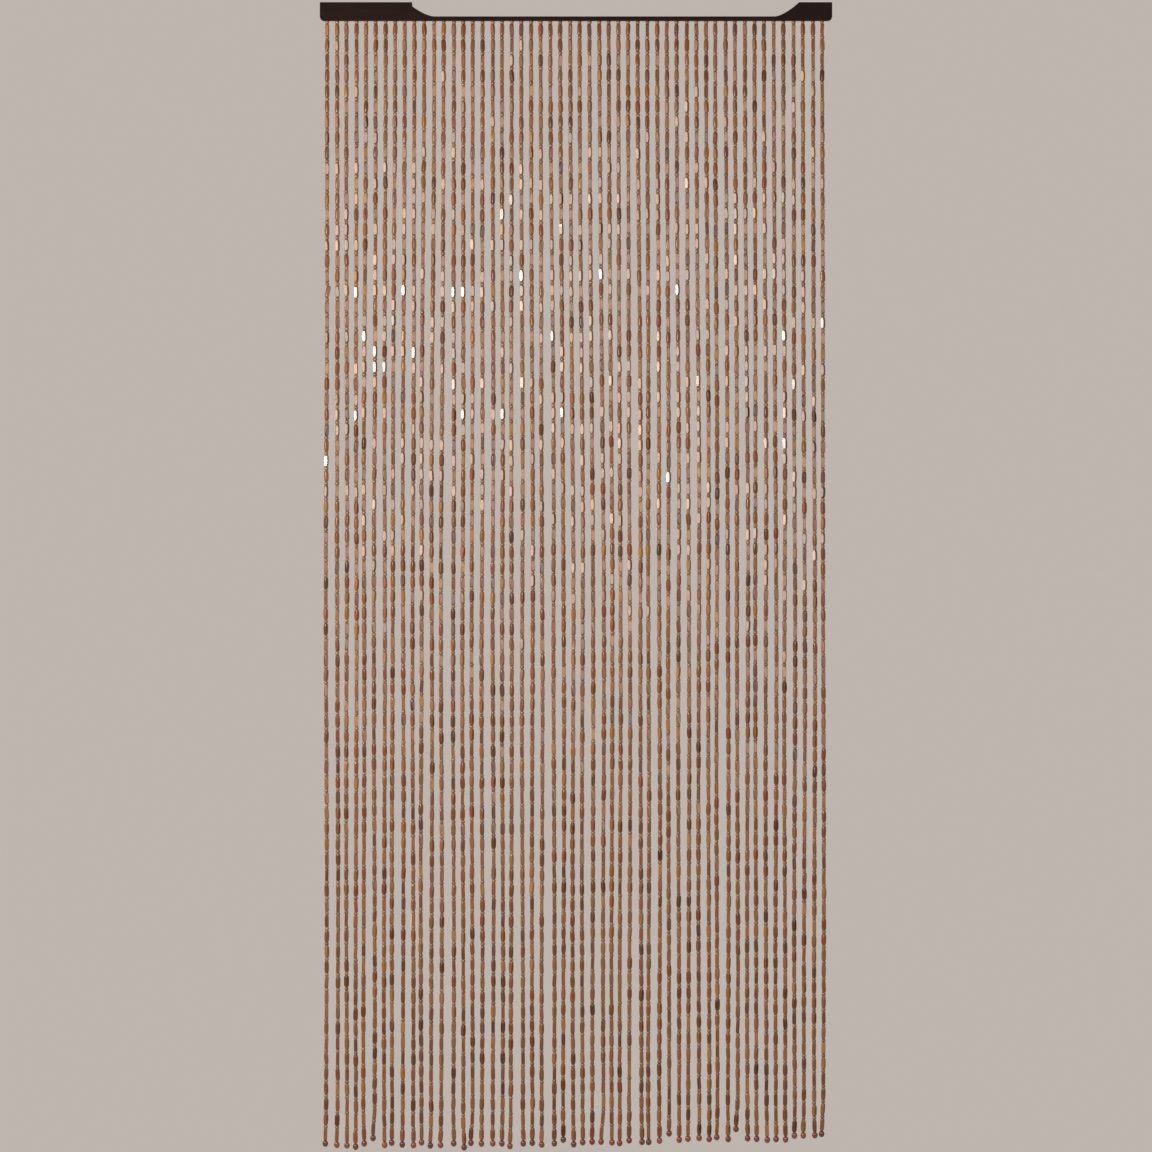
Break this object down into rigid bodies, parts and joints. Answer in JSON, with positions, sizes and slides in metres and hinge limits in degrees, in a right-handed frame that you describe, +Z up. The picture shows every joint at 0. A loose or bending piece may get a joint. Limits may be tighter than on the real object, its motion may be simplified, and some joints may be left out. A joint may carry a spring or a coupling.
{
  "type": "bead curtain on a wooden rail",
  "caption": "Dark wooden rail with raised ends and close strings of small brown wooden beads hanging from its underside, each ending in a round bead, for a doorway.",
  "frame": {"origin": "on the flat back face of the rail, halfway along it and halfway up its slim bar", "axes": "+Z up, strings hanging towards -Z; +X along the rail to the right as seen from the front; +Y out of the rail's back face towards the lintel"},
  "size_m": [0.9, 0.02, 2.0182],
  "materials": {
    "dark_stain": "dark brown stain, satin",
    "lacquered_beads": "mid brown stain under clear gloss lacquer"
  },
  "bodies": {
    "root": {"rail": "dark_stain", "bead_strings": "lacquered_beads"}
  },
  "joints": []
}
